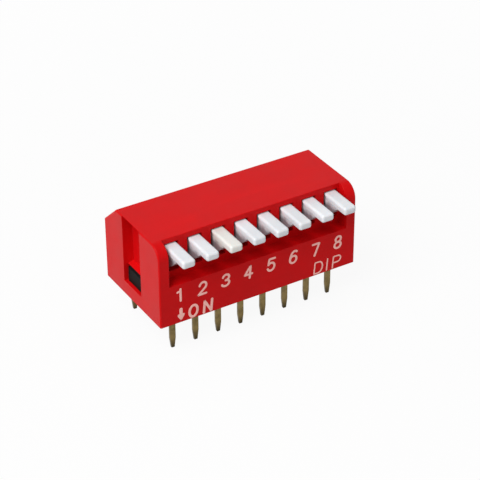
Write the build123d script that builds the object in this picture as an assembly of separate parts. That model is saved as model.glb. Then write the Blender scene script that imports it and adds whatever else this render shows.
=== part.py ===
"""Eight-way piano-key DIP switch for a printed circuit board.

A moulded cover is closed from below by an insulating base that carries two rows of
stamped terminals.  Eight rocking levers sit between them, and each carries a bowed
contact that bridges the two terminals of its own way when the lever is pressed down.

Frame, in millimetres: X runs along the row of levers from way 1 to way 8, -Y is the
side that the levers stick out of, +Z is up, and z = 0 is the rim that meets the board.
"""

import os
from math import cos, hypot, radians, sin

from build123d import *

# Row of ways
WAYS = 8
PITCH = 2.54                # from one way to the next
ROW_SPACING = 7.62          # from the front row of terminals to the rear row

# Outside of the cover
END_MARGIN = 0.81           # from the end of the last way to the end face
WIDTH = 10.82
HEIGHT = 8.78
REAR_CHAMFER_DEPTH = 2.44   # measured along Y on the top face
REAR_CHAMFER_DROP = 2.21    # measured down the rear face
FRONT_TOP_RADIUS = 1.50
EDGE_RADIUS = 0.15

# Walls of the cover
SIDE_WALL = 0.90            # front and rear
ROOF = 0.90
END_WALL = 0.70             # round the base
UPPER_END_WALL = 1.07       # above the lever axis, and beside the recess

# Recess that the levers stand in
RECESS_BELOW_TOP = 4.48     # from the top face down to its floor
RECESS_DEPTH = 1.37         # from the front face to the slotted wall
RECESS_FLOOR_THICKNESS = 0.80
SLOTTED_WALL = 0.70
SLOT_SIDE_GAP = 0.10
SLOT_HEADROOM = 0.12        # over the handles
SLOT_FOOTROOM = 0.27        # under the webs when the levers are down

# Groove and window at the middle of each end
GROOVE_WIDTH = 3.40
GROOVE_DEPTH = 1.10
GROOVE_DEPTH_AT_TOP = 0.05
GROOVE_RAMP_DROP = 1.18     # the floor of the groove runs outwards over this height
GROOVE_WALL = 0.35
WINDOW_BOTTOM_Z = 1.48
WINDOW_TOP_Z = 3.30
LINTEL_DEPTH = 0.45         # the groove's floor slopes out to this depth over the window
LINTEL_RISE = 0.20

# Base
BASE_BOTTOM_Z = 0.25
BASE_TOP_Z = 1.70
BASE_GAP = 0.03             # all round, inside the cover
RIB_BEHIND_AXIS = 0.95
BEARING_SPLIT_GAP = 0.04    # between the ribs of the base and those of the cover
LUG_WIDTH = 2.80
LUG_REACH = 0.40            # how far a lug stands out over the wall below it
LUG_LEAD = 0.20             # drop of the slope on its upper edge
LUG_THICKNESS = 0.69
LUG_GAP = 0.04              # above and below a lug, in its window

# Lever
AXIS_BEHIND_ROW = 1.46      # from the front row of terminals back to the lever axis
AXIS_BELOW_HANDLE = 1.92    # from the top of a handle down to the lever axis
LEVER_TRAVEL = 22.0         # degrees, from up (off) to down (on)
HANDLE_BELOW_TOP = 0.66     # the handles lie this far below the top face
HANDLE_REACH = 2.14         # in front of the front face
HANDLE_INTO_SLOT = 0.42
HANDLE_WIDTH = 1.36
HANDLE_THICKNESS = 0.82
HANDLE_BACK_SLOPE = 0.90    # how far the rear end leans forward towards its underside
HANDLE_EDGE = 0.26
WEB_WIDTH = 1.00
WEB_REACH = 0.64            # in front of the front face
WEB_KNEE_INSET = 0.41       # behind the front face
WEB_KNEE_RISE = 0.10        # above the lever axis
HUB_RADIUS = 0.75
LEG_THICKNESS = 0.70
TRUNNION_RADIUS = 0.35
TRUNNION_CLEARANCE = 0.05   # radial
TRUNNION_ENGAGEMENT = 0.25  # how far it runs into a rib
TRUNNION_END_GAP = 0.06

# Terminals and contacts, stamped from strip
STRIP_THICKNESS = 0.25
PIN_WIDTH = 0.60
PIN_TIP_WIDTH = 0.32
PIN_TIP_LENGTH = 1.10
PIN_BOTTOM_Z = -3.80
FINGER_WIDTH = 0.36
FINGER_OFFSET = 0.27        # of each contact finger from the middle of its way
FRONT_HEAD_LENGTH = 0.60
REAR_HEAD_LENGTH = 1.30
FRONT_FINGER_OVERRUN = 0.35  # past the furthest place that the contact slides to
REAR_FINGER_PAST_AXIS = 0.10
CONTACT_THICKNESS = 0.12
CONTACT_WIDTH = 0.90
CONTACT_GRIP = 0.60         # height of its arms on the leg
CONTACT_FOOT_WIDTH = 0.26
CONTACT_BOW = 0.53          # how far the feet hang below the clip
CONTACT_GAP = 0.05          # between feet and terminals at the middle of the travel

# Worked out from the sizes above
LENGTH = WAYS * PITCH + 2 * END_MARGIN
FRONT_Y = -WIDTH / 2
REAR_Y = WIDTH / 2
END_X = LENGTH / 2
ROW_Y = ROW_SPACING / 2
RECESS_WALL_Y = FRONT_Y + RECESS_DEPTH
RECESS_FLOOR_Z = HEIGHT - RECESS_BELOW_TOP
RECESS_END_X = END_X - UPPER_END_WALL
CAVITY_FRONT_Y = FRONT_Y + SIDE_WALL
CAVITY_REAR_Y = REAR_Y - SIDE_WALL
CAVITY_UPPER_FRONT_Y = RECESS_WALL_Y + SLOTTED_WALL
CAVITY_STEP_Z = RECESS_FLOOR_Z - RECESS_FLOOR_THICKNESS
CAVITY_TOP_Z = HEIGHT - ROOF
CAVITY_END_X = END_X - END_WALL
GROOVE_FLOOR_X = END_X - GROOVE_DEPTH
HANDLE_TOP_Z = HEIGHT - HANDLE_BELOW_TOP
HANDLE_BOTTOM_Z = HANDLE_TOP_Z - HANDLE_THICKNESS
HANDLE_BACK_Y = RECESS_WALL_Y + HANDLE_INTO_SLOT
AXIS_Y = AXIS_BEHIND_ROW - ROW_Y
AXIS_Z = HANDLE_TOP_Z - AXIS_BELOW_HANDLE
SLOT_WIDTH = HANDLE_WIDTH + 2 * SLOT_SIDE_GAP
RIB_THICKNESS = PITCH - SLOT_WIDTH
RIB_BACK_Y = AXIS_Y + RIB_BEHIND_AXIS
BORE_RADIUS = TRUNNION_RADIUS + TRUNNION_CLEARANCE
TRUNNION_HALF_LENGTH = SLOT_WIDTH / 2 + TRUNNION_ENGAGEMENT
LAST_WAY_X = PITCH * (WAYS - 1) / 2
BORE_LENGTH = 2 * (LAST_WAY_X + TRUNNION_HALF_LENGTH + TRUNNION_END_GAP)
BASE_END_X = CAVITY_END_X - BASE_GAP
PAD_TOP_Z = BASE_TOP_Z + STRIP_THICKNESS
FOOT_SWING_RADIUS = AXIS_Z - PAD_TOP_Z - CONTACT_GAP
LEG_LENGTH = FOOT_SWING_RADIUS - CONTACT_BOW - CONTACT_THICKNESS
FOOT_SWEEP = FOOT_SWING_RADIUS * sin(radians(LEVER_TRAVEL / 2))
FRONT_FINGER_END_Y = AXIS_Y + FOOT_SWEEP + FRONT_FINGER_OVERRUN
REAR_FINGER_END_Y = AXIS_Y - REAR_FINGER_PAST_AXIS
BEYOND = 1.0                # how far a cutting shape runs past the face it opens


def way_x(way):
    """Middle of a way, counted from 1."""
    return (way - (WAYS + 1) / 2) * PITCH


def block(x_range, y_range, z_range):
    """Box between two limits along each axis."""
    size = [high - low for low, high in (x_range, y_range, z_range)]
    middle = [(high + low) / 2 for low, high in (x_range, y_range, z_range)]
    return Pos(*middle) * Box(*size)


def slab_yz(points, width, x_middle=0.0):
    """Prism along X with a straight-sided outline given as (y, z)."""
    outline = Plane.YZ * make_face(Polyline(*points, close=True))
    return Pos(x_middle - width / 2, 0, 0) * extrude(outline, amount=width)


def slab_xz(points, width):
    """Prism along Y, centred on y = 0, with a straight-sided outline given as (x, z)."""
    outline = Plane.XZ * make_face(Polyline(*points, close=True))
    return Pos(0, width / 2, 0) * extrude(outline, amount=width)


def rod_x(radius, length, y, z, x_middle=0.0):
    """Cylinder along X."""
    return Pos(x_middle, y, z) * Rot(0, 90, 0) * Cylinder(radius, length)


def mirrored_ends(shape):
    """The shape and its mirror image at the other end."""
    return [shape, mirror(shape, about=Plane.YZ)]


# Cover

def cover_outside():
    outline = [
        (FRONT_Y, 0),
        (REAR_Y, 0),
        (REAR_Y, HEIGHT - REAR_CHAMFER_DROP),
        (REAR_Y - REAR_CHAMFER_DEPTH, HEIGHT),
        (FRONT_Y, HEIGHT),
    ]
    body = slab_yz(outline, LENGTH)
    long_edges = body.edges().filter_by(Axis.X)
    top_front = long_edges.sort_by_distance((0, FRONT_Y, HEIGHT))[0]
    body = fillet(top_front, FRONT_TOP_RADIUS)
    above_rim = [edge for edge in body.edges() if edge.center().Z > EDGE_RADIUS]
    return fillet(above_rim, EDGE_RADIUS)


def rear_slope_wall():
    """Material kept behind the sloping rear face, a wall thick measured square to it."""
    drop = SIDE_WALL * hypot(REAR_CHAMFER_DEPTH, REAR_CHAMFER_DROP) / REAR_CHAMFER_DEPTH
    low_z = HEIGHT - REAR_CHAMFER_DROP - drop
    top_y = REAR_Y - (HEIGHT - low_z) * REAR_CHAMFER_DEPTH / REAR_CHAMFER_DROP
    return slab_yz([(REAR_Y, low_z), (REAR_Y, HEIGHT), (top_y, HEIGHT)], LENGTH)


def groove_pocket(margin=0.0):
    """Inward bulge of the +X end wall that carries the floor and sides of the groove."""
    half = GROOVE_WIDTH / 2 + GROOVE_WALL + margin
    x_range = (GROOVE_FLOOR_X - GROOVE_WALL - margin, END_X)
    return block(x_range, (-half, half), (WINDOW_TOP_Z - margin, HEIGHT))


def bearing_rib(x, z_range):
    """Rib between two ways, behind the slotted wall."""
    x_range = (x - RIB_THICKNESS / 2, x + RIB_THICKNESS / 2)
    return block(x_range, (CAVITY_UPPER_FRONT_Y, RIB_BACK_Y), z_range)


def rib_places():
    """Middle of every rib, with the two end ribs half a pitch outside the last ways."""
    return [way_x(way) + PITCH / 2 for way in range(WAYS + 1)]


def cavity():
    """Hollow of the cover, which the base closes from below."""
    ends = (-CAVITY_END_X, CAVITY_END_X)
    upper_ends = (-RECESS_END_X, RECESS_END_X)
    hollow = block(ends, (CAVITY_FRONT_Y, CAVITY_REAR_Y), (-BEYOND, CAVITY_STEP_Z))
    hollow += block(ends, (CAVITY_UPPER_FRONT_Y, CAVITY_REAR_Y), (-BEYOND, AXIS_Z))
    hollow += block(upper_ends, (CAVITY_UPPER_FRONT_Y, CAVITY_REAR_Y), (-BEYOND, CAVITY_TOP_Z))
    hollow -= rear_slope_wall()
    hollow -= mirrored_ends(groove_pocket())
    split_z = AXIS_Z + BEARING_SPLIT_GAP / 2
    for x in rib_places():
        hollow -= bearing_rib(x, (split_z, HEIGHT))
    return hollow


def end_groove():
    """Groove down the middle of the +X end, with the window through the wall at its foot."""
    outline = [
        (END_X + BEYOND, WINDOW_BOTTOM_Z),
        (GROOVE_FLOOR_X, WINDOW_BOTTOM_Z),
        (GROOVE_FLOOR_X, WINDOW_TOP_Z),
        (END_X - LINTEL_DEPTH, WINDOW_TOP_Z),
        (GROOVE_FLOOR_X, WINDOW_TOP_Z + LINTEL_RISE),
        (GROOVE_FLOOR_X, HEIGHT - GROOVE_RAMP_DROP),
        (END_X - GROOVE_DEPTH_AT_TOP, HEIGHT),
        (END_X - GROOVE_DEPTH_AT_TOP, HEIGHT + BEYOND),
        (END_X + BEYOND, HEIGHT + BEYOND),
    ]
    return slab_xz(outline, GROOVE_WIDTH)


def recess():
    ends = (-RECESS_END_X, RECESS_END_X)
    return block(ends, (FRONT_Y - BEYOND, RECESS_WALL_Y), (RECESS_FLOOR_Z, HEIGHT + BEYOND))


def web_drop_at_wall():
    """How far below the axis a web's underside passes the slotted wall when its lever is down."""
    reach = AXIS_Y - RECESS_WALL_Y
    knee_reach = AXIS_Y - FRONT_Y - WEB_KNEE_INSET
    underside = (HUB_RADIUS + WEB_KNEE_RISE) * reach / knee_reach - HUB_RADIUS
    down = radians(LEVER_TRAVEL)
    return reach * sin(down) - underside * cos(down)


def lever_slot(x):
    x_range = (x - SLOT_WIDTH / 2, x + SLOT_WIDTH / 2)
    y_range = (RECESS_WALL_Y - BEYOND, CAVITY_UPPER_FRONT_Y)
    bottom_z = AXIS_Z - web_drop_at_wall() - SLOT_FOOTROOM
    return block(x_range, y_range, (bottom_z, HANDLE_TOP_Z + SLOT_HEADROOM))


def bearing_bore():
    """One straight bore through every rib, split at the lever axis."""
    return rod_x(BORE_RADIUS, BORE_LENGTH, AXIS_Y, AXIS_Z)


def cover():
    body = cover_outside() - cavity() - recess()
    body -= mirrored_ends(end_groove())
    body -= [lever_slot(way_x(way)) for way in range(1, WAYS + 1)]
    return body - bearing_bore()


# Base

def end_lug():
    """Tongue that stands in the +X window, with a hook over the wall below the window."""
    tongue_x = BASE_END_X - LUG_THICKNESS
    low_z = WINDOW_BOTTOM_Z + LUG_GAP
    top_z = WINDOW_TOP_Z - LUG_GAP
    outline = [
        (tongue_x, BASE_TOP_Z - BEYOND / 2),
        (BASE_END_X, BASE_TOP_Z - BEYOND / 2),
        (BASE_END_X, low_z),
        (BASE_END_X + LUG_REACH, low_z),
        (BASE_END_X + LUG_REACH, top_z - LUG_LEAD),
        (BASE_END_X, top_z),
        (tongue_x, top_z),
    ]
    return slab_xz(outline, LUG_WIDTH)


def pin_slot(way, row_y):
    """Slot that one terminal is pressed through, the same size as its pin."""
    half_width = PIN_WIDTH / 2
    half_strip = STRIP_THICKNESS / 2
    x = way_x(way)
    y_range = (row_y - half_strip, row_y + half_strip)
    return block((x - half_width, x + half_width), y_range, (BASE_BOTTOM_Z - BEYOND, BASE_TOP_Z + BEYOND))


def base():
    front_y = CAVITY_FRONT_Y + BASE_GAP
    rear_y = CAVITY_REAR_Y - BASE_GAP
    body = block((-BASE_END_X, BASE_END_X), (front_y, rear_y), (BASE_BOTTOM_Z, BASE_TOP_Z))
    rib_range = (BASE_TOP_Z - BASE_GAP, AXIS_Z - BEARING_SPLIT_GAP / 2)
    rib_front_y = CAVITY_UPPER_FRONT_Y + BASE_GAP
    for x in rib_places():
        low_x = max(x - RIB_THICKNESS / 2, -BASE_END_X)
        high_x = min(x + RIB_THICKNESS / 2, BASE_END_X)
        body += block((low_x, high_x), (rib_front_y, RIB_BACK_Y), rib_range)
    body += mirrored_ends(end_lug())
    body -= mirrored_ends(groove_pocket(BASE_GAP))
    body -= bearing_bore()
    for way in range(1, WAYS + 1):
        body -= pin_slot(way, -ROW_Y)
        body -= pin_slot(way, ROW_Y)
    return body


# Terminals

def pin(row_y):
    """Blade from the contact level down through the board, narrowed at its tip."""
    shoulder_z = PIN_BOTTOM_Z + PIN_TIP_LENGTH
    outline = [
        (-PIN_WIDTH / 2, PAD_TOP_Z),
        (-PIN_WIDTH / 2, shoulder_z),
        (-PIN_TIP_WIDTH / 2, PIN_BOTTOM_Z),
        (PIN_TIP_WIDTH / 2, PIN_BOTTOM_Z),
        (PIN_WIDTH / 2, shoulder_z),
        (PIN_WIDTH / 2, PAD_TOP_Z),
    ]
    return Pos(0, row_y, 0) * slab_xz(outline, STRIP_THICKNESS)


def terminal(row_y, head_length, finger_end_y, finger_x):
    """Pin bent over into a strip that lies on the base and narrows to a contact finger."""
    inwards = 1 if row_y < 0 else -1
    bend_y = row_y - inwards * STRIP_THICKNESS / 2
    head_y = sorted((bend_y, bend_y + inwards * head_length))
    finger_y = sorted((row_y, finger_end_y))
    level = (BASE_TOP_Z, PAD_TOP_Z)
    body = pin(row_y)
    body += block((-PIN_WIDTH / 2, PIN_WIDTH / 2), head_y, level)
    body += block((finger_x - FINGER_WIDTH / 2, finger_x + FINGER_WIDTH / 2), finger_y, level)
    return body


def front_terminal():
    """Its finger lies on the -X side of the way, and always touches one foot of the contact."""
    return terminal(-ROW_Y, FRONT_HEAD_LENGTH, FRONT_FINGER_END_Y, -FINGER_OFFSET)


def rear_terminal():
    """Its finger lies on the +X side, and stops short of where the contact rests when off."""
    return terminal(ROW_Y, REAR_HEAD_LENGTH, REAR_FINGER_END_Y, FINGER_OFFSET)


# Levers, drawn with their axis on the X axis and turned into place

def handle():
    front = FRONT_Y - HANDLE_REACH - AXIS_Y
    back = HANDLE_BACK_Y - AXIS_Y
    top = HANDLE_TOP_Z - AXIS_Z
    bottom = HANDLE_BOTTOM_Z - AXIS_Z
    outline = [(front, bottom), (front, top), (back, top), (back - HANDLE_BACK_SLOPE, bottom)]
    bar = slab_yz(outline, HANDLE_WIDTH)
    ahead_of_back = [edge for edge in bar.edges() if edge.center().Y < back - HANDLE_BACK_SLOPE / 4]
    return fillet(ahead_of_back, HANDLE_EDGE)


def web():
    """Narrower plate that joins the handle to the hub."""
    bottom = HANDLE_BOTTOM_Z - AXIS_Z
    middle = bottom + HANDLE_THICKNESS / 2
    front = FRONT_Y - WEB_REACH - AXIS_Y
    outline = [
        (front, middle),
        (front, bottom),
        (FRONT_Y + WEB_KNEE_INSET - AXIS_Y, WEB_KNEE_RISE),
        (0, -HUB_RADIUS),
        (HUB_RADIUS / 2, 0),
        (HANDLE_BACK_Y - AXIS_Y, middle),
    ]
    return slab_yz(outline, WEB_WIDTH)


def leg():
    """Straight leg below the hub, upright at the middle of the lever's travel."""
    half_width = WEB_WIDTH / 2
    half_thickness = LEG_THICKNESS / 2
    upright = block((-half_width, half_width), (-half_thickness, half_thickness), (-LEG_LENGTH, 0))
    return Rot(-LEVER_TRAVEL / 2, 0, 0) * upright


def lever():
    body = handle() + web() + leg()
    body += rod_x(HUB_RADIUS, WEB_WIDTH, 0, 0)
    return body + rod_x(TRUNNION_RADIUS, 2 * TRUNNION_HALF_LENGTH, 0, 0)


def contact():
    """Clip that hugs the foot of the leg, with two bowed feet side by side below it."""
    inner_y = LEG_THICKNESS / 2
    outer_y = inner_y + CONTACT_THICKNESS
    bottom_z = -LEG_LENGTH - CONTACT_THICKNESS
    half_width = CONTACT_WIDTH / 2
    clip = block((-half_width, half_width), (-outer_y, outer_y), (bottom_z, -LEG_LENGTH + CONTACT_GRIP))
    clip -= block((-WEB_WIDTH, WEB_WIDTH), (-inner_y, inner_y), (-LEG_LENGTH, 0))
    bow_radius = (outer_y ** 2 + CONTACT_BOW ** 2) / (2 * CONTACT_BOW)
    bow_z = bottom_z - CONTACT_BOW + bow_radius
    foot = rod_x(bow_radius, CONTACT_FOOT_WIDTH, 0, bow_z)
    foot -= rod_x(bow_radius - CONTACT_THICKNESS, CONTACT_FOOT_WIDTH, 0, bow_z)
    bow_top_z = bottom_z + CONTACT_THICKNESS / 2
    foot -= block((-WEB_WIDTH, WEB_WIDTH), (-LEG_LENGTH, LEG_LENGTH), (bow_top_z, 0))
    feet = [Pos(side * FINGER_OFFSET, 0, 0) * foot for side in (-1, 1)]
    return Rot(-LEVER_TRAVEL / 2, 0, 0) * (clip + feet)


def save(shape, node):
    export_step(shape, f"parts/{node}.step")


def main():
    os.makedirs("parts", exist_ok=True)
    save(cover(), "cover")
    save(base(), "base")
    front = front_terminal()
    rear = rear_terminal()
    one_lever = lever()
    one_contact = contact()
    for way in range(1, WAYS + 1):
        in_row = Pos(way_x(way), 0, 0)
        on_axis = Pos(way_x(way), AXIS_Y, AXIS_Z)
        save(in_row * front, f"front_terminal_{way}")
        save(in_row * rear, f"rear_terminal_{way}")
        save(on_axis * one_lever, f"lever_{way}")
        save(on_axis * one_contact, f"contact_{way}")


if __name__ == "__main__":
    main()
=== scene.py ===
"""Finish, print, light and camera for an eight-way piano-key DIP switch.

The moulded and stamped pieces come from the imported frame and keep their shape.  This
add-on gives each of them its surface, prints the way numbers and marks on the front
face, and sets the switch on a plain stage.
"""

import math
from collections import namedtuple

import bpy
from bpy.props import FloatProperty, FloatVectorProperty, PointerProperty
from mathutils import Matrix, Vector


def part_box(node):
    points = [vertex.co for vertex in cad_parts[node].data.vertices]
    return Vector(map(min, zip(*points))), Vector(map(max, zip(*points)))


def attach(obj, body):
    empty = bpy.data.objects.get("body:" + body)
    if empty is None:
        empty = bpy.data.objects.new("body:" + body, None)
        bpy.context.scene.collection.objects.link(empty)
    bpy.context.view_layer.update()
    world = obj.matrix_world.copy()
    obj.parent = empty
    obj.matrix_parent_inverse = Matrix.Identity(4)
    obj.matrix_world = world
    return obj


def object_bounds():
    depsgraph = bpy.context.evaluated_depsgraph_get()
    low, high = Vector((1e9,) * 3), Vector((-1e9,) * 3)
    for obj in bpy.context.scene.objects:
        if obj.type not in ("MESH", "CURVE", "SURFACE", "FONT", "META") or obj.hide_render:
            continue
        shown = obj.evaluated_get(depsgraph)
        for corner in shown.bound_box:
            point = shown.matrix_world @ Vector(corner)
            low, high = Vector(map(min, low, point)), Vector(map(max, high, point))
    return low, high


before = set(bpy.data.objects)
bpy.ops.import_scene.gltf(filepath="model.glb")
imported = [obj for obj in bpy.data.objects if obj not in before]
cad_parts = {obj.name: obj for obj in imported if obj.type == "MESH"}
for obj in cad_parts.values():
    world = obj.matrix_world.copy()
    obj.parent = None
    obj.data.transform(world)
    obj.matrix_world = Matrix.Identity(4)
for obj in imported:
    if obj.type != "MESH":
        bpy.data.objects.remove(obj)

bl_info = {
    "name": "DIP switch finish",
    "version": (1, 0, 0),
    "blender": (4, 5, 0),
    "location": "View3D > Sidebar > DIP switch",
    "description": "Surfaces, print, light and camera for a piano-key DIP switch",
    "category": "Material",
}

MM = 0.001
CAD_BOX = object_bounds()
COVER_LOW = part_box("cover")[0]
WAYS = sum(1 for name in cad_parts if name.startswith("lever_"))
HOUSING = "housing"
AGED_WAY = 3


# Sizes and colours that a user would change

class DIPSWITCH_PG_finish(bpy.types.PropertyGroup):
    """Colours and surface of the moulded and stamped pieces."""

    cover_colour: FloatVectorProperty(
        name="Cover", description="Colour of the cover's plastic",
        default=(0.60, 0.0030, 0.0045), size=3, min=0, max=1, subtype="COLOR")
    lever_colour: FloatVectorProperty(
        name="Levers", description="Colour of the levers' plastic",
        default=(0.74, 0.76, 0.79), size=3, min=0, max=1, subtype="COLOR")
    ivory_colour: FloatVectorProperty(
        name="Aged lever", description="Colour of the one lever that has yellowed a little",
        default=(0.75, 0.745, 0.71), size=3, min=0, max=1, subtype="COLOR")
    base_colour: FloatVectorProperty(
        name="Base", description="Colour of the base's plastic",
        default=(0.0040, 0.0042, 0.0040), size=3, min=0, max=1, subtype="COLOR")
    pin_colour: FloatVectorProperty(
        name="Pins", description="Colour of the plating on the terminals",
        default=(0.215, 0.155, 0.062), size=3, min=0, max=1, subtype="COLOR")
    contact_colour: FloatVectorProperty(
        name="Contacts", description="Colour of the plating on the sliding contacts",
        default=(0.80, 0.58, 0.24), size=3, min=0, max=1, subtype="COLOR")
    grain_size: FloatProperty(
        name="Grain", description="Width of the fine texture left by the mould",
        default=0.09 * MM, min=0.01 * MM, max=1 * MM, subtype="DISTANCE", unit="LENGTH")
    edge_softness: FloatProperty(
        name="Edge softness", description="Radius that light sees on moulded edges",
        default=0.07 * MM, min=0, max=0.3 * MM, subtype="DISTANCE", unit="LENGTH")


class DIPSWITCH_PG_print(bpy.types.PropertyGroup):
    """Ink marks on the front face."""

    number_height: FloatProperty(
        name="Number height", description="Height of a way number, along its stroke's middle",
        default=1.31 * MM, min=0.2 * MM, max=3 * MM, subtype="DISTANCE", unit="LENGTH")
    number_width: FloatProperty(
        name="Number width", description="Width of a way number, along its stroke's middle",
        default=0.86 * MM, min=0.2 * MM, max=3 * MM, subtype="DISTANCE", unit="LENGTH")
    number_middle: FloatProperty(
        name="Number row", description="Height of the middle of the numbers above the rim",
        default=3.02 * MM, min=0, max=8 * MM, subtype="DISTANCE", unit="LENGTH")
    word_height: FloatProperty(
        name="Word height", description="Height of the letters, along their stroke's middle",
        default=1.26 * MM, min=0.2 * MM, max=3 * MM, subtype="DISTANCE", unit="LENGTH")
    word_middle: FloatProperty(
        name="Word row", description="Height of the middle of the letters above the rim",
        default=0.80 * MM, min=0, max=8 * MM, subtype="DISTANCE", unit="LENGTH")
    number_stroke: FloatProperty(
        name="Number stroke", description="Width of the strokes of the numbers",
        default=0.24 * MM, min=0.02 * MM, max=1 * MM, subtype="DISTANCE", unit="LENGTH")
    bold_stroke: FloatProperty(
        name="Bold stroke", description="Width of the strokes of the ON mark",
        default=0.27 * MM, min=0.02 * MM, max=1 * MM, subtype="DISTANCE", unit="LENGTH")
    fine_stroke: FloatProperty(
        name="Fine stroke", description="Width of the strokes of the thin letters",
        default=0.16 * MM, min=0.02 * MM, max=1 * MM, subtype="DISTANCE", unit="LENGTH")
    ink_thickness: FloatProperty(
        name="Ink thickness", description="How far the ink stands out",
        default=0.014 * MM, min=0.001 * MM, max=0.1 * MM, subtype="DISTANCE", unit="LENGTH")
    slant: FloatProperty(
        name="Slant", description="How far the marks lean to the right",
        default=math.radians(5), min=math.radians(-30), max=math.radians(30),
        subtype="ANGLE", unit="ROTATION")
    ink_colour: FloatVectorProperty(
        name="Ink", description="Colour of the ink",
        default=(0.98, 0.53, 0.47), size=3, min=0, max=1, subtype="COLOR")


class DIPSWITCH_PG_stage(bpy.types.PropertyGroup):
    """Floor, light and camera."""

    azimuth: FloatProperty(
        name="Azimuth", description="Direction the camera looks along, from +Y",
        default=math.radians(-31.03), subtype="ANGLE", unit="ROTATION")
    elevation: FloatProperty(
        name="Elevation", description="How far the camera looks down",
        default=math.radians(32.70), subtype="ANGLE", unit="ROTATION")
    roll: FloatProperty(
        name="Roll", description="Turn of the camera about its own axis",
        default=math.radians(-0.35), subtype="ANGLE", unit="ROTATION")
    distance: FloatProperty(
        name="Distance", description="From the camera to the point it looks at",
        default=181 * MM, min=20 * MM, subtype="DISTANCE", unit="LENGTH")
    lens: FloatProperty(
        name="Lens", description="Focal length of the camera",
        default=137.4, min=20, subtype="DISTANCE_CAMERA")
    target: FloatVectorProperty(
        name="Target", description="Point the camera looks at",
        default=(1.50 * MM, 0.76 * MM, 2.39 * MM), size=3, subtype="XYZ", unit="LENGTH")
    ambient: FloatProperty(
        name="Ambient", description="Strength of the light from all round",
        default=0.38, min=0, max=2)
    key_power: FloatProperty(
        name="Key light", description="Power of the soft light from the upper left",
        default=1.25, min=0, max=10, unit="POWER")


# Node helpers

# Sockets of the Mix node when it mixes colours
MIX_FACTOR, MIX_FIRST, MIX_SECOND, MIX_RESULT = 0, 6, 7, 2
WHITE = (1.0, 1.0, 1.0, 1)
OFF_TO_ON = (0.0, 1.0)
ON_TO_OFF = (1.0, 0.0)
NOISE_SPAN = (0.3, 0.7)      # nearly all of a noise texture's values lie here


def add_node(tree, kind, inputs=None, **settings):
    """New node with settings by attribute and inputs by socket name or number."""
    node = tree.nodes.new(kind)
    for name, value in settings.items():
        setattr(node, name, value)
    for name, value in (inputs or {}).items():
        socket = node.inputs[name]
        if isinstance(value, bpy.types.NodeSocket):
            tree.links.new(value, socket)
        else:
            socket.default_value = value
    return node


def mix_colours(tree, factor, first, second, blend="MIX"):
    """Colour output of a colour mix, by its sockets' places."""
    node = tree.nodes.new("ShaderNodeMix")
    node.data_type = "RGBA"
    node.blend_type = blend
    for place, value in ((MIX_FACTOR, factor), (MIX_FIRST, first), (MIX_SECOND, second)):
        if isinstance(value, bpy.types.NodeSocket):
            tree.links.new(value, node.inputs[place])
        elif place == MIX_FACTOR:
            node.inputs[place].default_value = value
        else:
            node.inputs[place].default_value = (*value, 1)
    return node.outputs[MIX_RESULT]


def new_group(name, inputs, outputs):
    """Shader group with named inputs of given kinds and named float outputs."""
    group = bpy.data.node_groups.new(name, "ShaderNodeTree")
    for label, kind in inputs.items():
        group.interface.new_socket(label, in_out="INPUT", socket_type=kind)
    for label in outputs:
        group.interface.new_socket(label, in_out="OUTPUT", socket_type="NodeSocketFloat")
    return group


def combine(tree, operation, *values):
    """Output of a math node."""
    return add_node(tree, "ShaderNodeMath", dict(enumerate(values)), operation=operation).outputs[0]


def remap(tree, value, span, outcome):
    """Value moved from one span to another and held within it."""
    return add_node(tree, "ShaderNodeMapRange", {
        "Value": value, "From Min": span[0], "From Max": span[1],
        "To Min": outcome[0], "To Max": outcome[1]}).outputs[0]


def noise(tree, where, settings):
    """Values of a noise texture."""
    return add_node(tree, "ShaderNodeTexNoise", {"Vector": where, **settings}).outputs["Fac"]


def stretched(tree, where, scale):
    """Coordinates with a scale for each axis."""
    return add_node(tree, "ShaderNodeMapping", {"Vector": where, "Scale": scale}).outputs[0]


# Moulded plastic: textures in cycles per metre, and what they do to shade and roughness
MOULDED = "moulded surface"
GRAIN_NOISE = {"Detail": 3.0, "Roughness": 0.6}
GRAIN_SCATTER = 0.9
GRAIN_SHADE = (0.97, 1.03)
CLOUD_NOISE = {"Scale": 260.0, "Detail": 3.0, "Roughness": 0.5}
CLOUD_SHADE = (-0.05, 0.05)
CLOUD_DULLNESS = (-0.05, 0.06)
FLOW_STRETCH = (90.0, 420.0, 620.0)
FLOW_NOISE = {"Scale": 1.0, "Detail": 4.0, "Distortion": 0.6}
FLOW_SHADE = (-0.035, 0.035)
RUB_NOISE = {"Scale": 900.0, "Detail": 6.0, "Roughness": 0.7}
RUB_SPAN = (0.56, 0.72)
RUB_DULLNESS = 0.08


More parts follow.
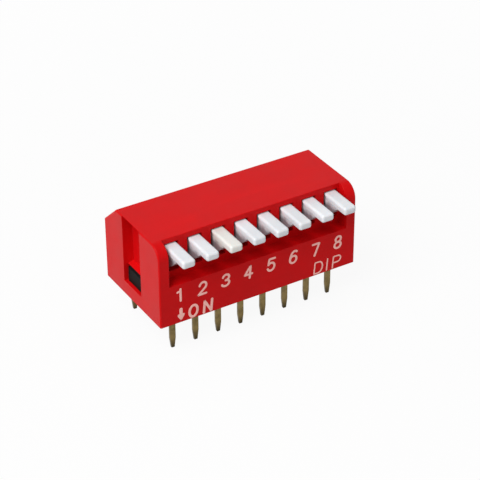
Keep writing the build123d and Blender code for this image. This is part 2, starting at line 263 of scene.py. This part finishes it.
def moulded_surface_group():
    """Grain, flow streaks and handling rub that every moulded piece shows."""
    group = new_group(
        MOULDED,
        {"Vector": "NodeSocketVector", "Grain size": "NodeSocketFloat", "Gloss": "NodeSocketFloat"},
        ("Shade", "Roughness", "Height", "Rub"))
    begin = group.nodes.new("NodeGroupInput")
    end = group.nodes.new("NodeGroupOutput")
    where = begin.outputs["Vector"]
    per_grain = combine(group, "DIVIDE", 1.0, begin.outputs["Grain size"])
    grain = noise(group, where, {"Scale": per_grain, **GRAIN_NOISE})
    cells = add_node(group, "ShaderNodeTexVoronoi", {
        "Vector": where, "Scale": per_grain, "Randomness": GRAIN_SCATTER}, feature="SMOOTH_F1")
    cloud = noise(group, where, CLOUD_NOISE)
    flow = noise(group, stretched(group, where, FLOW_STRETCH), FLOW_NOISE)
    rub = remap(group, noise(group, where, RUB_NOISE), RUB_SPAN, OFF_TO_ON)
    broad_shade = combine(group, "ADD", remap(group, cloud, NOISE_SPAN, CLOUD_SHADE),
                          remap(group, flow, NOISE_SPAN, FLOW_SHADE))
    shade = combine(group, "ADD", broad_shade, remap(group, grain, NOISE_SPAN, GRAIN_SHADE))
    rough = combine(group, "ADD", begin.outputs["Gloss"], remap(group, cloud, NOISE_SPAN, CLOUD_DULLNESS))
    rubbed = combine(group, "MULTIPLY_ADD", rub, RUB_DULLNESS, rough)
    height = combine(group, "ADD", grain, cells.outputs["Distance"])
    for name, socket in (("Shade", shade), ("Roughness", rubbed), ("Height", height), ("Rub", rub)):
        group.links.new(socket, end.inputs[name])


# Stamped metal: drawing lines along the strip, tarnish in patches and a dark tip
DRAWN_STRIP = "drawn strip"
LINES_STRETCH = (14000.0, 14000.0, 500.0)
LINES_NOISE = {"Scale": 1.0, "Detail": 4.0, "Roughness": 0.6}
TARNISH_NOISE = {"Scale": 1500.0, "Detail": 5.0, "Roughness": 0.65}
TARNISH_SPAN = (0.42, 0.68)
TIP_SPAN = (0.0, 1.2 * MM)   # above the end of the strip


def drawn_strip_group():
    """Drawing lines along the strip, with patches of tarnish."""
    group = new_group(
        DRAWN_STRIP, {"Vector": "NodeSocketVector", "Tip height": "NodeSocketFloat"},
        ("Lines", "Tarnish", "Tip"))
    begin = group.nodes.new("NodeGroupInput")
    end = group.nodes.new("NodeGroupOutput")
    where = begin.outputs["Vector"]
    lines = noise(group, stretched(group, where, LINES_STRETCH), LINES_NOISE)
    tarnish = remap(group, noise(group, where, TARNISH_NOISE), TARNISH_SPAN, OFF_TO_ON)
    height = add_node(group, "ShaderNodeSeparateXYZ", {0: where}).outputs["Z"]
    above_tip = combine(group, "SUBTRACT", height, begin.outputs["Tip height"])
    tip = remap(group, above_tip, TIP_SPAN, ON_TO_OFF)
    for name, socket in (("Lines", lines), ("Tarnish", tarnish), ("Tip", tip)):
        group.links.new(socket, end.inputs[name])


# Materials

# Roughness, strength of the relief, specular level and the colour that rubbing leaves
Plastic = namedtuple("Plastic", "gloss relief specular rub_colour")
COVER_PLASTIC = Plastic(gloss=0.36, relief=0.20, specular=0.08, rub_colour=(0.70, 0.035, 0.04))
LEVER_PLASTIC = Plastic(gloss=0.34, relief=0.14, specular=0.5, rub_colour=(0.86, 0.85, 0.84))
BASE_PLASTIC = Plastic(gloss=0.55, relief=0.30, specular=0.07, rub_colour=(0.016, 0.016, 0.016))
RUB_SHARE = 0.10
MOULD_RELIEF = 0.006 * MM
BEVEL_SAMPLES = 6

# Painted shade on the levers below their handles, and the light that gets into them
HANDLE_THICKNESS = 0.82 * MM
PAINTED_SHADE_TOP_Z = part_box("lever_1")[1].z - HANDLE_THICKNESS + 0.4 * MM
PAINTED_SHADE_FADE = 0.5 * MM
PAINTED_SHADE_MOST = 0.85
PAINTED_SHADE_COLOUR = (0.19, 0.165, 0.185)
PAINTED_SHADE_NOISE = {"Scale": 1400.0, "Detail": 4.0}
PAINTED_SHADE_WANDER = 0.8 * MM
SCATTER_SHARE = 0.35
SCATTER_RADII = (1.0, 0.8, 0.7)
SCATTER_DEPTH = 0.35 * MM

# Colour of the tarnish, and how much of the tip is dark
Plating = namedtuple("Plating", "tarnish_colour tip_share")
TERMINAL_PLATING = Plating(tarnish_colour=(0.060, 0.045, 0.022), tip_share=0.85)
CONTACT_PLATING = Plating(tarnish_colour=(0.45, 0.28, 0.09), tip_share=0.0)
LINES_SHADE = (0.84, 1.12)
TARNISH_SHARE = 0.5
TIP_DARKNESS = 0.35
PLATING_ROUGHNESS = (0.30, 0.46)
LINES_RELIEF = 0.35
LINES_DEPTH = 0.004 * MM
STAMPED_EDGE = 0.03 * MM

# Ink, thin in patches
INK_NOISE = {"Scale": 3200.0, "Detail": 4.0}
THIN_INK_SPAN = (0.42, 0.75)
THIN_INK_SHARE = (0.0, 0.35)
THIN_INK_COLOUR = (0.88, 0.30, 0.27)
INK_ROUGHNESS = (0.45, 0.62)
INK_RELIEF = 0.3
INK_RELIEF_DEPTH = 0.003 * MM


def new_material(name):
    """Material with its Principled shader, output and object coordinates."""
    material = bpy.data.materials.new(name)
    material.use_nodes = True
    tree = material.node_tree
    shader = tree.nodes["Principled BSDF"]
    coordinates = tree.nodes.new("ShaderNodeTexCoord")
    return material, tree, shader, coordinates.outputs["Object"]


def soft_edged_bump(tree, shader, height, strength, depth, edge_radius):
    """Fine relief over a normal that is rounded at edges."""
    rounded = add_node(tree, "ShaderNodeBevel", {"Radius": edge_radius}, samples=BEVEL_SAMPLES)
    bump = add_node(tree, "ShaderNodeBump", {
        "Strength": strength, "Distance": depth, "Height": height, "Normal": rounded.outputs[0]})
    tree.links.new(bump.outputs[0], shader.inputs["Normal"])


def scaled_colour(tree, colour, shade):
    """A colour made lighter or darker by a grey value."""
    grey = add_node(tree, "ShaderNodeCombineColor", {0: shade, 1: shade, 2: shade})
    return mix_colours(tree, 1.0, colour, grey.outputs[0], "MULTIPLY")


def moulded_material(name, colour, plastic, settings):
    """Injection-moulded plastic: grained, slightly clouded, rubbed a little lighter in places."""
    material, tree, shader, where = new_material(name)
    surface = add_node(tree, "ShaderNodeGroup", node_tree=bpy.data.node_groups[MOULDED])
    tree.links.new(where, surface.inputs["Vector"])
    surface.inputs["Grain size"].default_value = settings.grain_size
    surface.inputs["Gloss"].default_value = plastic.gloss
    tinted = scaled_colour(tree, colour, surface.outputs["Shade"])
    rubbed = combine(tree, "MULTIPLY", surface.outputs["Rub"], RUB_SHARE)
    tree.links.new(mix_colours(tree, rubbed, tinted, plastic.rub_colour), shader.inputs["Base Color"])
    tree.links.new(surface.outputs["Roughness"], shader.inputs["Roughness"])
    shader.inputs["Specular IOR Level"].default_value = plastic.specular
    soft_edged_bump(
        tree, shader, surface.outputs["Height"], plastic.relief, MOULD_RELIEF, settings.edge_softness)
    return material


def lever_material(name, colour, settings):
    """White plastic that lets a little light in, with painted shade below the handles that darkens further
    down.
    """
    material = moulded_material(name, colour, LEVER_PLASTIC, settings)
    tree = material.node_tree
    shader = tree.nodes["Principled BSDF"]
    unshaded = shader.inputs["Base Color"].links[0].from_socket
    where = tree.nodes["Texture Coordinate"].outputs["Object"]
    height = add_node(tree, "ShaderNodeSeparateXYZ", {0: where}).outputs["Z"]
    # Painted shade: below the handles the colour darkens towards grey, more the lower it lies
    uneven = combine(tree, "MULTIPLY_ADD", noise(tree, where, PAINTED_SHADE_NOISE), PAINTED_SHADE_WANDER, height)
    painted_shade = remap(tree, uneven, (PAINTED_SHADE_TOP_Z, PAINTED_SHADE_TOP_Z - PAINTED_SHADE_FADE), (0.0, PAINTED_SHADE_MOST))
    tree.links.new(mix_colours(tree, painted_shade, unshaded, PAINTED_SHADE_COLOUR), shader.inputs["Base Color"])
    shader.inputs["Subsurface Weight"].default_value = SCATTER_SHARE
    shader.inputs["Subsurface Radius"].default_value = SCATTER_RADII
    shader.inputs["Subsurface Scale"].default_value = SCATTER_DEPTH
    return material


def metal_material(name, colour, plating):
    """Plated strip with drawing lines, tarnish and a darker sheared tip."""
    material, tree, shader, where = new_material(name)
    strip = add_node(tree, "ShaderNodeGroup", node_tree=bpy.data.node_groups[DRAWN_STRIP])
    tree.links.new(where, strip.inputs["Vector"])
    strip.inputs["Tip height"].default_value = CAD_BOX[0].z
    lines = strip.outputs["Lines"]
    tarnish = strip.outputs["Tarnish"]
    plated = scaled_colour(tree, colour, remap(tree, lines, NOISE_SPAN, LINES_SHADE))
    worn = mix_colours(
        tree, combine(tree, "MULTIPLY", tarnish, TARNISH_SHARE), plated, plating.tarnish_colour)
    tip_colour = tuple(TIP_DARKNESS * part for part in plating.tarnish_colour)
    at_tip = combine(tree, "MULTIPLY", strip.outputs["Tip"], plating.tip_share)
    tree.links.new(mix_colours(tree, at_tip, worn, tip_colour), shader.inputs["Base Color"])
    shader.inputs["Metallic"].default_value = 1.0
    tree.links.new(remap(tree, tarnish, OFF_TO_ON, PLATING_ROUGHNESS), shader.inputs["Roughness"])
    soft_edged_bump(tree, shader, lines, LINES_RELIEF, LINES_DEPTH, STAMPED_EDGE)
    return material


def ink_material(settings):
    """Pad-printed ink, thin enough in places for the red to show through."""
    material, tree, shader, where = new_material("white print ink")
    patches = noise(tree, where, INK_NOISE)
    thin = remap(tree, patches, THIN_INK_SPAN, THIN_INK_SHARE)
    tree.links.new(
        mix_colours(tree, thin, settings.ink_colour, THIN_INK_COLOUR), shader.inputs["Base Color"])
    tree.links.new(remap(tree, patches, NOISE_SPAN, INK_ROUGHNESS), shader.inputs["Roughness"])
    bump = add_node(tree, "ShaderNodeBump", {
        "Strength": INK_RELIEF, "Distance": INK_RELIEF_DEPTH, "Height": patches})
    tree.links.new(bump.outputs[0], shader.inputs["Normal"])
    return material


def dress(nodes, material):
    """Gives CAD nodes one material."""
    for name in nodes:
        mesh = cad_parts[name].data
        mesh.materials.clear()
        mesh.materials.append(material)


# Print: each mark is strokes in a box one unit wide and high, centred on its middle

ARC_STEPS = 20
LARGE_ARC_STEPS = 32
SHARP_TURN = math.radians(30)
UPRIGHT = ("1", "shaft", "head")    # marks that don't lean
BEAD_SIDES = 16
CAP_RINGS = 8

# The arrow under the first lever: shift to the right, and width, height and boldness of its parts
ARROW_SHIFT = 0.15 * MM
ARROW_PARTS = (("shaft", 1.3 * MM, 1.5 * MM, 1.3), ("head", 1.0 * MM, 1.0 * MM, 0.75))

# Letters: the lever that each is placed from, its shift to the right, its width and its kind of stroke
LETTERS = (
    ("O", 0, 1.50 * MM, 0.90 * MM, "bold_stroke"),
    ("N", 0, 3.09 * MM, 0.88 * MM, "bold_stroke"),
    ("D", -1, -2.15 * MM, 0.98 * MM, "fine_stroke"),
    ("I", -1, -1.13 * MM, 0.98 * MM, "fine_stroke"),
    ("P", -1, -0.03 * MM, 0.98 * MM, "fine_stroke"),
)


def arc(middle_x, middle_z, radius_x, radius_z, start, end, steps=ARC_STEPS):
    """Points along part of an ellipse, with angles in degrees from +X towards +Z."""
    points = []
    for step in range(steps + 1):
        angle = math.radians(start + (end - start) * step / steps)
        points.append((middle_x + radius_x * math.cos(angle), middle_z + radius_z * math.sin(angle)))
    return points


def glyph_strokes():
    """Strokes of every number, letter and arrow part that is printed."""
    return {
        "1": [[(-0.19, 0.34), (0.15, 0.38)], [(0.17, 0.54), (0.17, -0.44)]],
        "2": [arc(0.02, 0.20, 0.42, 0.30, 172, -38) + [(-0.46, -0.50)], [(-0.46, -0.50), (0.50, -0.50)]],
        "3": [arc(0.0, 0.23, 0.40, 0.24, 168, -90), arc(0.0, -0.24, 0.47, 0.25, 90, -160)],
        "4": [[(0.20, -0.50), (0.20, 0.50), (-0.46, -0.18), (0.48, -0.18)]],
        "5": [[(0.42, 0.50), (-0.30, 0.50), (-0.36, 0.04)], arc(0.0, -0.17, 0.45, 0.33, 142, -155)],
        "6": [arc(0.0, -0.20, 0.43, 0.30, 0, 360), arc(0.12, -0.18, 0.55, 0.68, 62, 180)],
        "7": [[(-0.42, 0.47), (0.45, 0.47), (-0.04, -0.52)]],
        "8": [arc(0.11, 0.24, 0.36, 0.24, 0, 360), arc(0.11, -0.26, 0.43, 0.26, 0, 360)],
        "O": [arc(0.0, 0.0, 0.48, 0.50, 0, 360, LARGE_ARC_STEPS)],
        "N": [[(-0.46, -0.50), (-0.46, 0.50), (0.46, -0.50), (0.46, 0.50)]],
        "D": [[(-0.46, -0.50), (-0.46, 0.50)] + arc(0.02, 0.0, 0.46, 0.50, 90, -90) + [(-0.46, -0.50)]],
        "I": [[(0.0, 0.50), (0.0, -0.50)]],
        "P": [[(-0.42, -0.50), (-0.42, 0.50)] + arc(0.10, 0.22, 0.38, 0.28, 90, -90) + [(-0.42, -0.06)]],
        "shaft": [[(0.0, 0.43), (0.0, -0.10)]],
        "head": [
            [(-0.32, 0.03), (0.32, 0.03), (0.0, -0.47), (-0.32, 0.03)],
            [(-0.13, -0.07), (0.13, -0.07), (0.0, -0.28), (-0.13, -0.07)]],
    }


def marks(settings):
    """(glyph, middle x, middle z, width, height, stroke) of every printed mark."""
    ways = [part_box(f"lever_{way}") for way in range(1, WAYS + 1)]
    middles = [(low.x + high.x) / 2 for low, high in ways]
    row = settings.word_middle
    numbers = [
        (str(way), middle, settings.number_middle, settings.number_width, settings.number_height,
         settings.number_stroke)
        for way, middle in enumerate(middles, 1)]
    arrow = [
        (part, middles[0] + ARROW_SHIFT, row, width, height, boldness * settings.bold_stroke)
        for part, width, height, boldness in ARROW_PARTS]
    letters = [
        (letter, middles[place] + shift, row, width, settings.word_height, getattr(settings, stroke))
        for letter, place, shift, width, stroke in LETTERS]
    return numbers + arrow + letters


def turns_sharply(before, point, after):
    """Whether a stroke has a corner at a point."""
    incoming = Vector(point) - Vector(before)
    outgoing = Vector(after) - Vector(point)
    return incoming.angle(outgoing, 0) > SHARP_TURN


def smooth_runs(line):
    """A stroke cut at its corners."""
    runs = [[line[0]]]
    for place in range(1, len(line)):
        runs[-1].append(line[place])
        if place + 1 < len(line) and turns_sharply(*line[place - 1:place + 2]):
            runs.append([line[place]])
    return runs


def stroke_guides(settings):
    """Wires in the plane of the front face that carry half the width of their strokes."""
    points, edges, half_widths = [], [], []
    shapes = glyph_strokes()
    for glyph, middle_x, middle_z, width, height, stroke in marks(settings):
        lean = 0 if glyph in UPRIGHT else math.tan(settings.slant)
        for line in shapes[glyph]:
            leaning = [(x * width + z * height * lean, z * height) for x, z in line]
            for run in smooth_runs(leaning):
                first = len(points)
                points += [(middle_x + x, COVER_LOW.y, middle_z + z) for x, z in run]
                half_widths += [stroke / 2] * len(run)
                edges += [(index, index + 1) for index in range(first, len(points) - 1)]
    mesh = bpy.data.meshes.new("print_guides")
    mesh.from_pydata(points, edges, [])
    mesh.attributes.new("half_width", "FLOAT", "POINT").data.foreach_set("value", half_widths)
    guides = bpy.data.objects.new("print_guides", mesh)
    bpy.context.scene.collection.objects.link(guides)
    return guides


def ink_stroke_tree():
    """Geometry nodes that lay a low, round-ended bead of ink along every wire."""
    tree = bpy.data.node_groups.new("ink strokes", "GeometryNodeTree")
    for label, kind in (("Geometry", "Geometry"), ("Ink thickness", "Float"), ("Face", "Float"),
                        ("Ink", "Material")):
        tree.interface.new_socket(label, in_out="INPUT", socket_type=f"NodeSocket{kind}")
    tree.interface.new_socket("Geometry", in_out="OUTPUT", socket_type="NodeSocketGeometry")
    begin = tree.nodes.new("NodeGroupInput")
    end = tree.nodes.new("NodeGroupOutput")
    half_width = add_node(tree, "GeometryNodeInputNamedAttribute", {"Name": "half_width"}, data_type="FLOAT")
    width = half_width.outputs["Attribute"]

    wires = add_node(tree, "GeometryNodeMeshToCurve", {"Mesh": begin.outputs["Geometry"]})
    level = add_node(tree, "GeometryNodeSetCurveNormal", {
        "Curve": wires.outputs[0], "Normal": (0.0, 1.0, 0.0)}, mode="FREE")
    ring = add_node(tree, "GeometryNodeCurvePrimitiveCircle", {"Resolution": BEAD_SIDES, "Radius": 1.0},
                    mode="RADIUS")
    beads = add_node(tree, "GeometryNodeCurveToMesh", {
        "Curve": level.outputs[0], "Profile Curve": ring.outputs["Curve"], "Scale": width})
    ends = add_node(tree, "GeometryNodeCurveEndpointSelection")
    ball = add_node(tree, "GeometryNodeMeshUVSphere", {
        "Segments": BEAD_SIDES, "Rings": CAP_RINGS, "Radius": 1.0})
    caps = add_node(tree, "GeometryNodeInstanceOnPoints", {
        "Points": level.outputs[0], "Selection": ends.outputs[0], "Instance": ball.outputs["Mesh"],
        "Scale": width})
    solid_caps = add_node(tree, "GeometryNodeRealizeInstances", {"Geometry": caps.outputs[0]})
    joined = tree.nodes.new("GeometryNodeJoinGeometry")
    tree.links.new(beads.outputs[0], joined.inputs[0])
    tree.links.new(solid_caps.outputs[0], joined.inputs[0])

    point = tree.nodes.new("GeometryNodeInputPosition")
    place = add_node(tree, "ShaderNodeSeparateXYZ", {0: point.outputs[0]})
    flatness = combine(tree, "DIVIDE", begin.outputs["Ink thickness"], width)
    off_face = combine(tree, "SUBTRACT", place.outputs["Y"], begin.outputs["Face"])
    lowered = combine(tree, "MULTIPLY_ADD", off_face, flatness, begin.outputs["Face"])
    flat = add_node(tree, "ShaderNodeCombineXYZ", {
        "X": place.outputs["X"], "Y": lowered, "Z": place.outputs["Z"]})
    laid = add_node(tree, "GeometryNodeSetPosition", {
        "Geometry": joined.outputs[0], "Position": flat.outputs[0]})
    smooth = add_node(tree, "GeometryNodeSetShadeSmooth", {"Geometry": laid.outputs[0]})
    whole = add_node(tree, "GeometryNodeRealizeInstances", {"Geometry": smooth.outputs[0]})
    inked = add_node(tree, "GeometryNodeSetMaterial", {
        "Geometry": whole.outputs[0], "Material": begin.outputs["Ink"]})
    tree.links.new(inked.outputs[0], end.inputs[0])
    return tree


def baked_from_nodes(guides, tree, values, name):
    """Plain mesh object made from the nodes, with the guides removed."""
    modifier = guides.modifiers.new("nodes", "NODES")
    modifier.node_group = tree
    sockets = {item.name: item.identifier for item in tree.interface.items_tree if item.in_out == "INPUT"}
    for label, value in values.items():
        modifier[sockets[label]] = value
    bpy.context.view_layer.update()
    shown = guides.evaluated_get(bpy.context.evaluated_depsgraph_get())
    mesh = bpy.data.meshes.new_from_object(shown)
    mesh.name = name
    bpy.data.objects.remove(guides)
    piece = bpy.data.objects.new(name, mesh)
    bpy.context.scene.collection.objects.link(piece)
    return piece


def make_print(settings):
    """All the ink on the front face, as one piece."""
    ink = ink_material(settings)
    values = {"Ink thickness": settings.ink_thickness, "Face": COVER_LOW.y, "Ink": ink}
    piece = baked_from_nodes(stroke_guides(settings), ink_stroke_tree(), values, "front_print")
    piece.data.materials.clear()
    piece.data.materials.append(ink)
    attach(piece, HOUSING)
    return piece


# Stage

FLOOR_HALF = 1.5
FLOOR_NOISE = {"Scale": 12.0, "Detail": 2.0}
FLOOR_GREY = (0.54, 0.56)
FLOOR_ROUGHNESS = 0.9
FLOOR_SPECULAR = 0.1
FADE_SPAN = (0.03, 0.15)     # from the switch, where the floor turns into the background
GLOW_STRENGTH = (1.03, 1.0)
GLOW_SHARE = (0.90, 1.0)
KEY_PLACE = (-0.219, -0.084, 0.273)
KEY_AIM = (0, 0, 0.003)
KEY_SIZE = 0.25
CLIP_START = 1 * MM


def seen_by_camera(tree):
    """1 for rays straight from the camera, or that come to it through a mirror or glass."""
    path = tree.nodes.new("ShaderNodeLightPath")
    either = combine(tree, "MAXIMUM", path.outputs["Is Camera Ray"], path.outputs["Is Glossy Ray"])
    return combine(tree, "MAXIMUM", either, path.outputs["Is Transmission Ray"])


def make_world(settings):
    """White to look at, and softer as a light."""
    world = bpy.data.worlds.new("studio")
    world.use_nodes = True
    tree = world.node_tree
    strength = remap(tree, seen_by_camera(tree), OFF_TO_ON, (settings.ambient, 1.0))
    background = tree.nodes["Background"]
    background.inputs["Color"].default_value = WHITE
    tree.links.new(strength, background.inputs["Strength"])
    bpy.context.scene.world = world


def mixed_shader(tree, share, first, second):
    """Shader between two others."""
    node = add_node(tree, "ShaderNodeMixShader", {0: share})
    tree.links.new(first, node.inputs[1])
    tree.links.new(second, node.inputs[2])
    return node.outputs[0]


def floor_material():
    """Matt white that keeps a share of the shadow near the switch, and is clear from below."""
    material, tree, shader, where = new_material("studio floor")
    grey = remap(tree, noise(tree, where, FLOOR_NOISE), NOISE_SPAN, FLOOR_GREY)
    tone = add_node(tree, "ShaderNodeCombineColor", {0: grey, 1: grey, 2: grey})
    tree.links.new(tone.outputs[0], shader.inputs["Base Color"])
    shader.inputs["Roughness"].default_value = FLOOR_ROUGHNESS
    shader.inputs["Specular IOR Level"].default_value = FLOOR_SPECULAR
    reach = add_node(tree, "ShaderNodeVectorMath", {0: where}, operation="LENGTH").outputs["Value"]
    glow = add_node(tree, "ShaderNodeEmission", {
        "Color": WHITE, "Strength": remap(tree, reach, FADE_SPAN, GLOW_STRENGTH)})
    share = combine(tree, "MULTIPLY", seen_by_camera(tree), remap(tree, reach, FADE_SPAN, GLOW_SHARE))
    above = mixed_shader(tree, share, shader.outputs[0], glow.outputs[0])
    side = tree.nodes.new("ShaderNodeNewGeometry")
    clear = tree.nodes.new("ShaderNodeBsdfTransparent")
    one_sided = mixed_shader(tree, side.outputs["Backfacing"], above, clear.outputs[0])
    tree.links.new(one_sided, tree.nodes["Material Output"].inputs["Surface"])
    return material


def make_floor():
    """Plain floor under the pin tips."""
    signs = ((-1, -1), (1, -1), (1, 1), (-1, 1))
    corners = [(x * FLOOR_HALF, y * FLOOR_HALF, CAD_BOX[0].z) for x, y in signs]
    mesh = bpy.data.meshes.new("floor")
    mesh.from_pydata(corners, [], [range(len(corners))])
    mesh.materials.append(floor_material())
    floor = bpy.data.objects.new("floor", mesh)
    bpy.context.scene.collection.objects.link(floor)


def make_softbox(name, place, aim, size, power):
    """Square area light that faces a point."""
    light = bpy.data.lights.new(name, "AREA")
    light.shape = "SQUARE"
    light.size = size
    light.energy = power
    lamp = bpy.data.objects.new(name, light)
    lamp.rotation_euler = (Vector(aim) - Vector(place)).to_track_quat("-Z", "Y").to_euler()
    lamp.location = place
    bpy.context.scene.collection.objects.link(lamp)


def make_camera(settings):
    """Camera that looks down on the front and the first way's end."""
    camera = bpy.data.cameras.new("camera")
    camera.lens = settings.lens
    camera.clip_start = CLIP_START
    holder = bpy.data.objects.new("camera", camera)
    turn = (Matrix.Rotation(settings.azimuth, 3, "Z")
            @ Matrix.Rotation(math.radians(90) - settings.elevation, 3, "X")
            @ Matrix.Rotation(settings.roll, 3, "Z"))
    back = turn.col[2]
    place = Vector(settings.target) + back * settings.distance
    holder.matrix_world = Matrix.Translation(place) @ turn.to_4x4()
    bpy.context.scene.collection.objects.link(holder)
    bpy.context.scene.camera = holder


# Add-on

class DIPSWITCH_OT_housing(bpy.types.Operator):
    """Give the cover and the base their plastics"""
    bl_idname = "dipswitch.housing"
    bl_label = "Cover and base"

    def execute(self, context):
        settings = context.scene.dipswitch_finish
        dress(["cover"], moulded_material(
            "red cover plastic", settings.cover_colour, COVER_PLASTIC, settings))
        dress(["base"], moulded_material(
            "black base plastic", settings.base_colour, BASE_PLASTIC, settings))
        return {"FINISHED"}


class DIPSWITCH_OT_levers(bpy.types.Operator):
    """Give the eight levers their white plastic"""
    bl_idname = "dipswitch.levers"
    bl_label = "Levers"

    def execute(self, context):
        settings = context.scene.dipswitch_finish
        aged = f"lever_{AGED_WAY}"
        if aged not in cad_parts:
            raise RuntimeError(f"the frame has no {aged}")
        dress([f"lever_{way}" for way in range(1, WAYS + 1)],
              lever_material("white lever plastic", settings.lever_colour, settings))
        dress([aged], lever_material("ivory lever plastic", settings.ivory_colour, settings))
        return {"FINISHED"}


class DIPSWITCH_OT_metal(bpy.types.Operator):
    """Give the terminals and the contacts their plating"""
    bl_idname = "dipswitch.metal"
    bl_label = "Terminals and contacts"

    def execute(self, context):
        settings = context.scene.dipswitch_finish
        pins = metal_material("tarnished terminal plating", settings.pin_colour, TERMINAL_PLATING)
        clips = metal_material("bright contact plating", settings.contact_colour, CONTACT_PLATING)
        dress([f"{row}_terminal_{way}" for row in ("front", "rear") for way in range(1, WAYS + 1)], pins)
        dress([f"contact_{way}" for way in range(1, WAYS + 1)], clips)
        return {"FINISHED"}


class DIPSWITCH_OT_print(bpy.types.Operator):
    """Print the way numbers, the ON arrow and the type name on the front face"""
    bl_idname = "dipswitch.print"
    bl_label = "Print"

    def execute(self, context):
        piece = make_print(context.scene.dipswitch_print)
        if not piece.data.polygons:
            raise RuntimeError("the print has no faces")
        return {"FINISHED"}


class DIPSWITCH_OT_stage(bpy.types.Operator):
    """Set the floor, the light and the camera"""
    bl_idname = "dipswitch.stage"
    bl_label = "Stage"

    def execute(self, context):
        settings = context.scene.dipswitch_stage
        make_world(settings)
        make_floor()
        make_softbox("key", KEY_PLACE, KEY_AIM, KEY_SIZE, settings.key_power)
        make_camera(settings)
        return {"FINISHED"}


OPERATORS = (DIPSWITCH_OT_housing, DIPSWITCH_OT_levers, DIPSWITCH_OT_metal, DIPSWITCH_OT_print,
             DIPSWITCH_OT_stage)


class DIPSWITCH_PT_panel(bpy.types.Panel):
    """Lists the steps that finish the switch"""
    bl_idname = "DIPSWITCH_PT_panel"
    bl_label = "DIP switch"
    bl_space_type = "VIEW_3D"
    bl_region_type = "UI"
    bl_category = "DIP switch"

    def draw(self, context):
        for operator in OPERATORS:
            self.layout.operator(operator.bl_idname)


PROPERTIES = {
    "dipswitch_finish": DIPSWITCH_PG_finish,
    "dipswitch_print": DIPSWITCH_PG_print,
    "dipswitch_stage": DIPSWITCH_PG_stage,
}


def register():
    for kind in (*PROPERTIES.values(), *OPERATORS, DIPSWITCH_PT_panel):
        bpy.utils.register_class(kind)
    for name, kind in PROPERTIES.items():
        setattr(bpy.types.Scene, name, PointerProperty(type=kind))


def unregister():
    for name in PROPERTIES:
        delattr(bpy.types.Scene, name)
    for kind in reversed((*PROPERTIES.values(), *OPERATORS, DIPSWITCH_PT_panel)):
        bpy.utils.unregister_class(kind)


def main():
    register()
    bpy.context.scene.view_settings.view_transform = "Standard"
    moulded_surface_group()
    drawn_strip_group()
    for operator in OPERATORS:
        family, name = operator.bl_idname.split(".")
        getattr(getattr(bpy.ops, family), name)()


if __name__ == "__main__":
    main()
